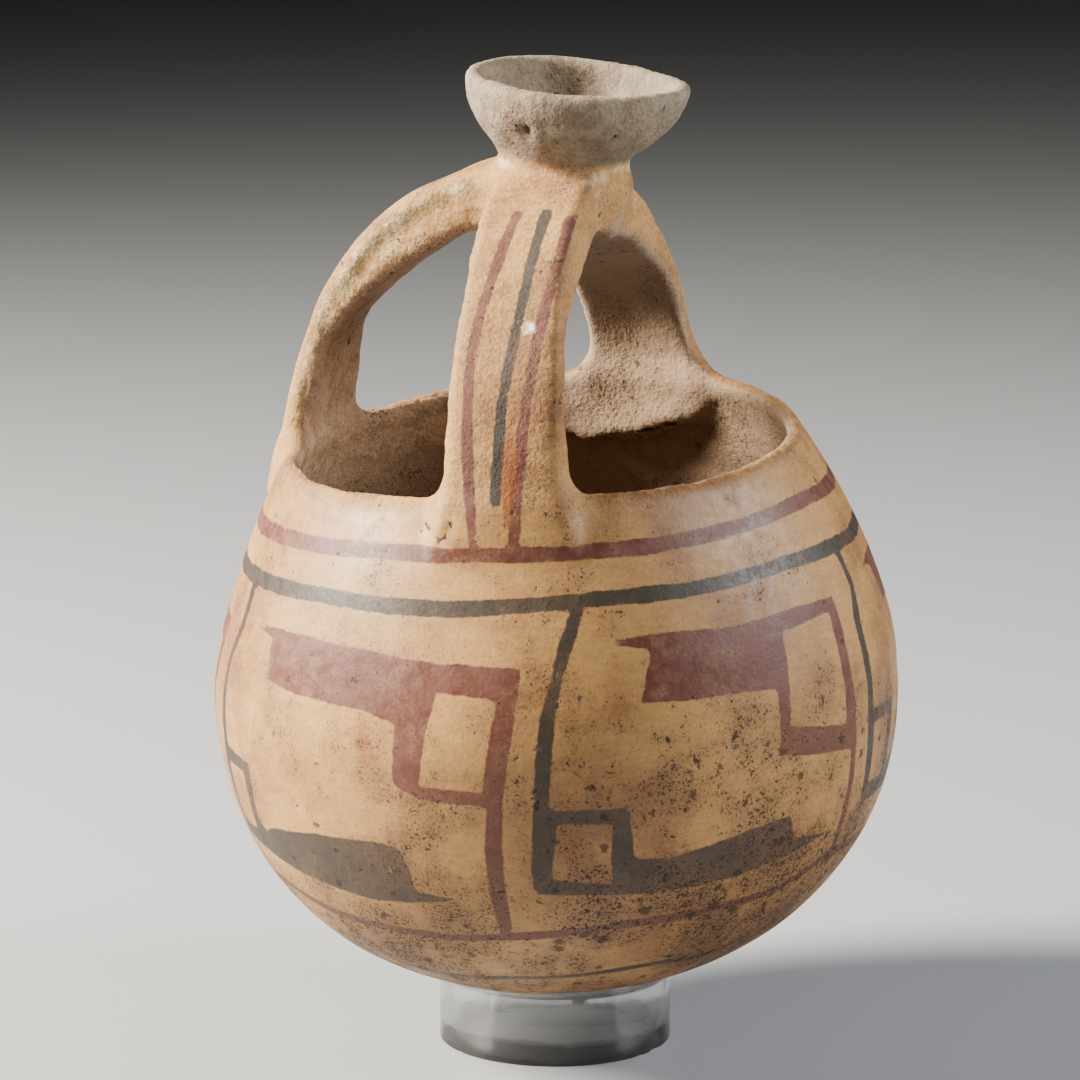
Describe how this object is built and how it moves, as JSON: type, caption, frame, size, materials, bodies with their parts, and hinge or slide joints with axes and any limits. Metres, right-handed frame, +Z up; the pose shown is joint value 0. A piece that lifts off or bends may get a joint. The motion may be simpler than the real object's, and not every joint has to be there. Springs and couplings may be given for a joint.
{
  "type": "handled pottery jar",
  "caption": "Round-based pottery jar with painted hook bands, strap handles arching over its open mouth to a small cup, standing in a clear ring.",
  "frame": {"origin": "centre of the ring stand's underside, on the surface it stands on", "axes": "+Z up, -Y towards the jar's front, +X to the right as seen from the front"},
  "size_m": [0.1461, 0.1464, 0.2113],
  "materials": {
    "fired_clay": "burnished",
    "clear_acrylic": "clear polished"
  },
  "bodies": {
    "root": {"jar": "fired_clay", "ring_stand": "clear_acrylic"}
  },
  "joints": []
}
